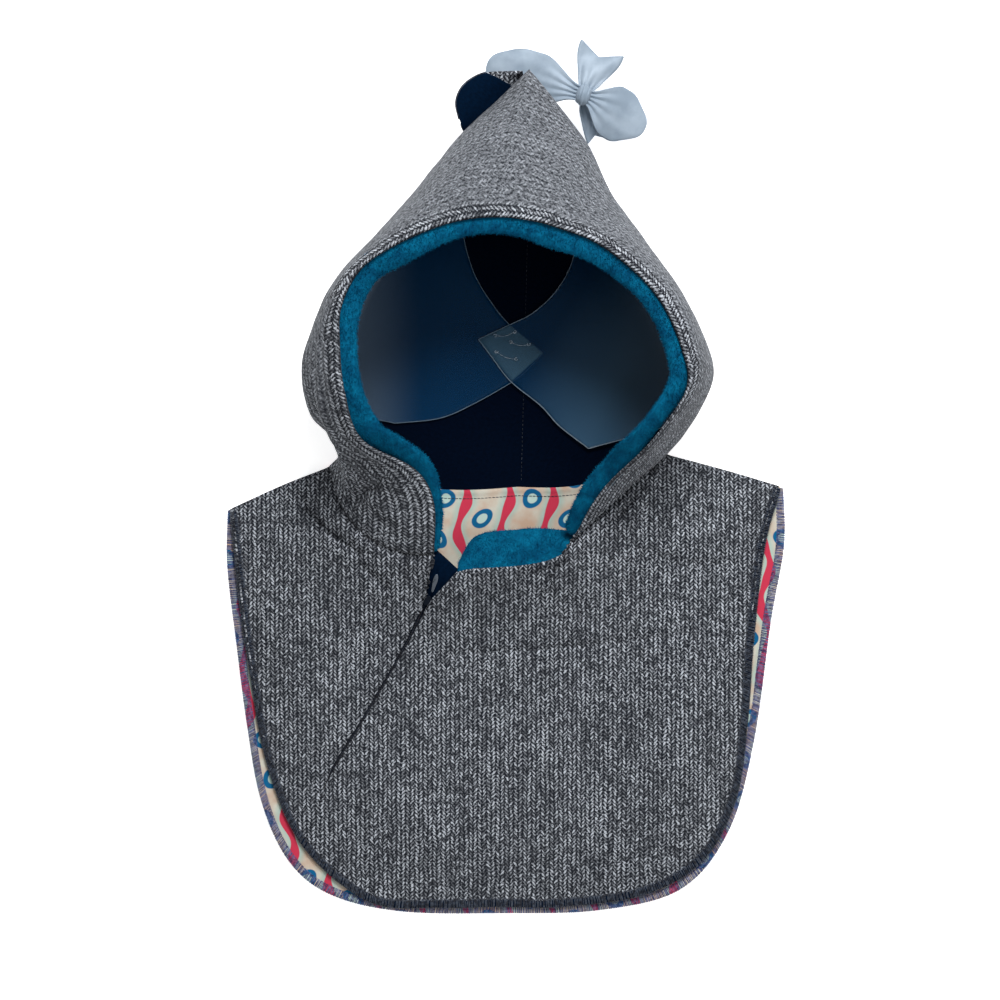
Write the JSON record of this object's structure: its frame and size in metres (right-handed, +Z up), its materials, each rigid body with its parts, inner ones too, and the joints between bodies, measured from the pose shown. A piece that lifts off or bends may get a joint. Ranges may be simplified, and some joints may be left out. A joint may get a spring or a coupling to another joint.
{
  "type": "pointed rain hood with clear hood former",
  "caption": "Pointed softshell rain hood with a front and back bib, plush-edged face opening, slanting neck zip, bow and tab at the point, lying on its back round a clear former.",
  "frame": {"origin": "on the surface that the hood lies on, under the middle of its outline", "axes": "+Z up from the surface, out of the face opening (the wearer's front); +Y from the bib's hem to the hood's point; +X to the wearer's left"},
  "size_m": [0.348, 0.543, 0.1081],
  "materials": {
    "herringbone_cloth": "grey herringbone softshell",
    "navy_lining": "smooth navy knit",
    "teal_plush": "short teal plush",
    "printed_lining": "printed jersey",
    "edge_thread": "overlock thread",
    "reflective_cloth": "silver-grey reflective cloth",
    "zip_metal": "satin",
    "clear_plastic": "clear sheet"
  },
  "bodies": {
    "root": {"hood_shell": "herringbone_cloth", "hood_lining": "navy_lining", "face_facing": "teal_plush", "front_panel": "herringbone_cloth", "front_edge_stitching": "edge_thread", "back_panel": "herringbone_cloth", "back_lining": "printed_lining", "back_edge_stitching": "edge_thread", "neck_facing": "teal_plush", "zip_tape": "navy_lining", "zip_teeth": "edge_thread", "zip_flap": "navy_lining", "zip_slider": "zip_metal", "zip_pull": "zip_metal", "tab_lining": "navy_lining", "tab_cloth": "herringbone_cloth", "bow_loop_left": "reflective_cloth", "bow_loop_right": "reflective_cloth", "bow_tail_up": "reflective_cloth", "bow_tail_down": "reflective_cloth", "bow_knot": "reflective_cloth", "former_right": "clear_plastic", "former_left": "clear_plastic"}
  },
  "joints": []
}
